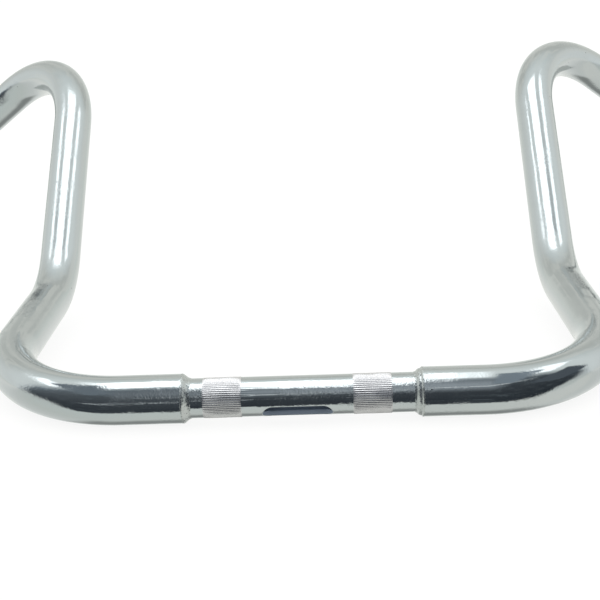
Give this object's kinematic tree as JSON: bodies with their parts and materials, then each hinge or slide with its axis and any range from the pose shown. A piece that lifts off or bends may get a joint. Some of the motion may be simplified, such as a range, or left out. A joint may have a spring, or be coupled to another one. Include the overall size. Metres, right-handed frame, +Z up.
{
  "type": "motorcycle handlebar",
  "caption": "Chromed ape-hanger motorcycle handlebar: a narrow knurled clamp tube with a wiring slot, welded between fat bent side tubes that end in narrow grip tubes.",
  "frame": {"origin": "middle of the clamp tube, on its axis", "axes": "+X along the clamp tube to the rider's left, +Y from the clamp tube towards the grips, +Z up from the bench on which the bar lies, off the motorcycle"},
  "size_m": [0.952, 0.5444, 0.1859],
  "materials": {
    "polished_chrome": "polished and chrome plated, mirror bright",
    "knurled_chrome": "chrome plated, with two straight-knurled bands",
    "welded_chrome": "ground weld, chrome plated, slightly rough and pitted"
  },
  "bodies": {
    "root": {"clamp_tube": "knurled_chrome", "side_tube_left": "polished_chrome", "side_tube_right": "polished_chrome", "clamp_weld_left": "welded_chrome", "clamp_weld_right": "welded_chrome", "grip_tube_left": "polished_chrome", "grip_tube_right": "polished_chrome", "grip_weld_left": "welded_chrome", "grip_weld_right": "welded_chrome"}
  },
  "joints": []
}
